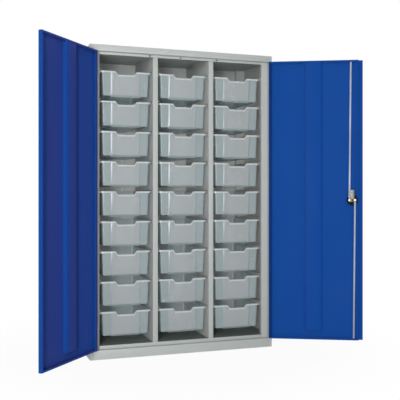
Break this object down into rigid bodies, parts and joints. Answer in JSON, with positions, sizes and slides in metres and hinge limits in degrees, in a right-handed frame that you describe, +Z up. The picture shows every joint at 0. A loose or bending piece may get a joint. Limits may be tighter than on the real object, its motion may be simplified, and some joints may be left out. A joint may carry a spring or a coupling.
{
  "type": "parts bin cabinet",
  "caption": "Tall steel cabinet with two hinged doors, a turning rod lock and columns of hanging translucent plastic trays.",
  "frame": {"origin": "middle of the footprint on the floor", "axes": "+Z up, front toward -Y, +X to the right when facing the front"},
  "size_m": [1.9844, 0.9111, 1.83],
  "materials": {
    "body_paint": "light grey powder coat, satin",
    "door_paint": "blue powder coat, satin",
    "tray_plastic": "translucent moulded polypropylene",
    "zinc_steel": "zinc plated",
    "cam_steel": "zinc plated, warm",
    "rod_steel": "zinc plated, dull",
    "black_plastic": "moulded, fine grain",
    "rubber": "matt"
  },
  "bodies": {
    "cabinet": {"left_side_panel": "body_paint", "right_side_panel": "body_paint", "back_panel": "body_paint", "top_panel": "body_paint", "header_rail": "body_paint", "base_panel": "body_paint", "plinth": "body_paint", "left_divider": "body_paint", "right_divider": "body_paint", "left_wall_runners": "body_paint", "left_divider_runners": "body_paint", "right_divider_runners": "body_paint", "right_wall_runners": "body_paint", "runner_posts": "body_paint", "door_buffers": "rubber", "frame_rivets": "zinc_steel", "left_hinge_frame_leaf": "body_paint", "right_hinge_frame_leaf": "body_paint", "hinge_pins": "zinc_steel"},
    "left_door": {"left_door_panel": "door_paint", "left_door_stiffener": "door_paint", "left_hinge_door_leaf": "door_paint"},
    "right_door": {"right_door_panel": "door_paint", "right_door_stiffener": "door_paint", "right_hinge_door_leaf": "door_paint", "closing_strip": "door_paint", "handle_housing": "black_plastic", "rod_guides": "black_plastic"},
    "lock": {"turn_handle": "black_plastic", "lock_barrel": "zinc_steel", "lock_cam": "cam_steel"},
    "upper_rod": {"upper_rod": "rod_steel"},
    "lower_rod": {"lower_rod": "rod_steel"},
    "tray_c1_r1": {"tray_c1_r1": "tray_plastic"},
    "tray_c1_r2": {"tray_c1_r2": "tray_plastic"},
    "tray_c1_r3": {"tray_c1_r3": "tray_plastic"},
    "tray_c1_r4": {"tray_c1_r4": "tray_plastic"},
    "tray_c1_r5": {"tray_c1_r5": "tray_plastic"},
    "tray_c1_r6": {"tray_c1_r6": "tray_plastic"},
    "tray_c1_r7": {"tray_c1_r7": "tray_plastic"},
    "tray_c1_r8": {"tray_c1_r8": "tray_plastic"},
    "tray_c1_r9": {"tray_c1_r9": "tray_plastic"},
    "tray_c2_r1": {"tray_c2_r1": "tray_plastic"},
    "tray_c2_r2": {"tray_c2_r2": "tray_plastic"},
    "tray_c2_r3": {"tray_c2_r3": "tray_plastic"},
    "tray_c2_r4": {"tray_c2_r4": "tray_plastic"},
    "tray_c2_r5": {"tray_c2_r5": "tray_plastic"},
    "tray_c2_r6": {"tray_c2_r6": "tray_plastic"},
    "tray_c2_r7": {"tray_c2_r7": "tray_plastic"},
    "tray_c2_r8": {"tray_c2_r8": "tray_plastic"},
    "tray_c2_r9": {"tray_c2_r9": "tray_plastic"},
    "tray_c3_r1": {"tray_c3_r1": "tray_plastic"},
    "tray_c3_r2": {"tray_c3_r2": "tray_plastic"},
    "tray_c3_r3": {"tray_c3_r3": "tray_plastic"},
    "tray_c3_r4": {"tray_c3_r4": "tray_plastic"},
    "tray_c3_r5": {"tray_c3_r5": "tray_plastic"},
    "tray_c3_r6": {"tray_c3_r6": "tray_plastic"},
    "tray_c3_r7": {"tray_c3_r7": "tray_plastic"},
    "tray_c3_r8": {"tray_c3_r8": "tray_plastic"},
    "tray_c3_r9": {"tray_c3_r9": "tray_plastic"}
  },
  "joints": [
    {"name": "left_door_swing", "type": "hinge", "parent": "cabinet", "child": "left_door", "pos_m": [-0.553, -0.241, 0.924], "axis": [0, 0, -1], "range_deg": [-131, 44]},
    {"name": "right_door_swing", "type": "hinge", "parent": "cabinet", "child": "right_door", "pos_m": [0.553, -0.241, 0.924], "axis": [0, 0, 1], "range_deg": [-154, 21]},
    {"name": "handle_turn", "type": "hinge", "parent": "right_door", "child": "lock", "pos_m": [1.00217, -0.49123, 0.924], "axis": [0.4384, 0.8988, 0], "range_deg": [0, 90]},
    {"name": "upper_rod_pivot", "type": "hinge", "parent": "lock", "child": "upper_rod", "pos_m": [0.99105, -0.47524, 0.924], "axis": [0.4384, 0.8988, 0], "range_deg": [-91.6, 2]},
    {"name": "lower_rod_pivot", "type": "hinge", "parent": "lock", "child": "lower_rod", "pos_m": [1.02161, -0.49014, 0.924], "axis": [0.4384, 0.8988, 0], "range_deg": [-91.6, 2]},
    {"name": "tray_c1_r1_slide", "type": "slide", "parent": "cabinet", "child": "tray_c1_r1", "axis": [0, -1, 0], "range_m": [0, 0.35]},
    {"name": "tray_c1_r2_slide", "type": "slide", "parent": "cabinet", "child": "tray_c1_r2", "axis": [0, -1, 0], "range_m": [0, 0.35]},
    {"name": "tray_c1_r3_slide", "type": "slide", "parent": "cabinet", "child": "tray_c1_r3", "axis": [0, -1, 0], "range_m": [0, 0.35]},
    {"name": "tray_c1_r4_slide", "type": "slide", "parent": "cabinet", "child": "tray_c1_r4", "axis": [0, -1, 0], "range_m": [0, 0.35]},
    {"name": "tray_c1_r5_slide", "type": "slide", "parent": "cabinet", "child": "tray_c1_r5", "axis": [0, -1, 0], "range_m": [0, 0.35]},
    {"name": "tray_c1_r6_slide", "type": "slide", "parent": "cabinet", "child": "tray_c1_r6", "axis": [0, -1, 0], "range_m": [0, 0.35]},
    {"name": "tray_c1_r7_slide", "type": "slide", "parent": "cabinet", "child": "tray_c1_r7", "axis": [0, -1, 0], "range_m": [0, 0.35]},
    {"name": "tray_c1_r8_slide", "type": "slide", "parent": "cabinet", "child": "tray_c1_r8", "axis": [0, -1, 0], "range_m": [0, 0.35]},
    {"name": "tray_c1_r9_slide", "type": "slide", "parent": "cabinet", "child": "tray_c1_r9", "axis": [0, -1, 0], "range_m": [0, 0.35]},
    {"name": "tray_c2_r1_slide", "type": "slide", "parent": "cabinet", "child": "tray_c2_r1", "axis": [0, -1, 0], "range_m": [0, 0.35]},
    {"name": "tray_c2_r2_slide", "type": "slide", "parent": "cabinet", "child": "tray_c2_r2", "axis": [0, -1, 0], "range_m": [0, 0.35]},
    {"name": "tray_c2_r3_slide", "type": "slide", "parent": "cabinet", "child": "tray_c2_r3", "axis": [0, -1, 0], "range_m": [0, 0.35]},
    {"name": "tray_c2_r4_slide", "type": "slide", "parent": "cabinet", "child": "tray_c2_r4", "axis": [0, -1, 0], "range_m": [0, 0.35]},
    {"name": "tray_c2_r5_slide", "type": "slide", "parent": "cabinet", "child": "tray_c2_r5", "axis": [0, -1, 0], "range_m": [0, 0.35]},
    {"name": "tray_c2_r6_slide", "type": "slide", "parent": "cabinet", "child": "tray_c2_r6", "axis": [0, -1, 0], "range_m": [0, 0.35]},
    {"name": "tray_c2_r7_slide", "type": "slide", "parent": "cabinet", "child": "tray_c2_r7", "axis": [0, -1, 0], "range_m": [0, 0.35]},
    {"name": "tray_c2_r8_slide", "type": "slide", "parent": "cabinet", "child": "tray_c2_r8", "axis": [0, -1, 0], "range_m": [0, 0.35]},
    {"name": "tray_c2_r9_slide", "type": "slide", "parent": "cabinet", "child": "tray_c2_r9", "axis": [0, -1, 0], "range_m": [0, 0.35]},
    {"name": "tray_c3_r1_slide", "type": "slide", "parent": "cabinet", "child": "tray_c3_r1", "axis": [0, -1, 0], "range_m": [0, 0.35]},
    {"name": "tray_c3_r2_slide", "type": "slide", "parent": "cabinet", "child": "tray_c3_r2", "axis": [0, -1, 0], "range_m": [0, 0.35]},
    {"name": "tray_c3_r3_slide", "type": "slide", "parent": "cabinet", "child": "tray_c3_r3", "axis": [0, -1, 0], "range_m": [0, 0.35]},
    {"name": "tray_c3_r4_slide", "type": "slide", "parent": "cabinet", "child": "tray_c3_r4", "axis": [0, -1, 0], "range_m": [0, 0.35]},
    {"name": "tray_c3_r5_slide", "type": "slide", "parent": "cabinet", "child": "tray_c3_r5", "axis": [0, -1, 0], "range_m": [0, 0.35]},
    {"name": "tray_c3_r6_slide", "type": "slide", "parent": "cabinet", "child": "tray_c3_r6", "axis": [0, -1, 0], "range_m": [0, 0.35]},
    {"name": "tray_c3_r7_slide", "type": "slide", "parent": "cabinet", "child": "tray_c3_r7", "axis": [0, -1, 0], "range_m": [0, 0.35]},
    {"name": "tray_c3_r8_slide", "type": "slide", "parent": "cabinet", "child": "tray_c3_r8", "axis": [0, -1, 0], "range_m": [0, 0.35]},
    {"name": "tray_c3_r9_slide", "type": "slide", "parent": "cabinet", "child": "tray_c3_r9", "axis": [0, -1, 0], "range_m": [0, 0.35]}
  ],
  "couplings": [
    {"joint": "upper_rod_pivot", "follows": "handle_turn", "ratio": -1.0125},
    {"joint": "lower_rod_pivot", "follows": "handle_turn", "ratio": -1.0125}
  ]
}
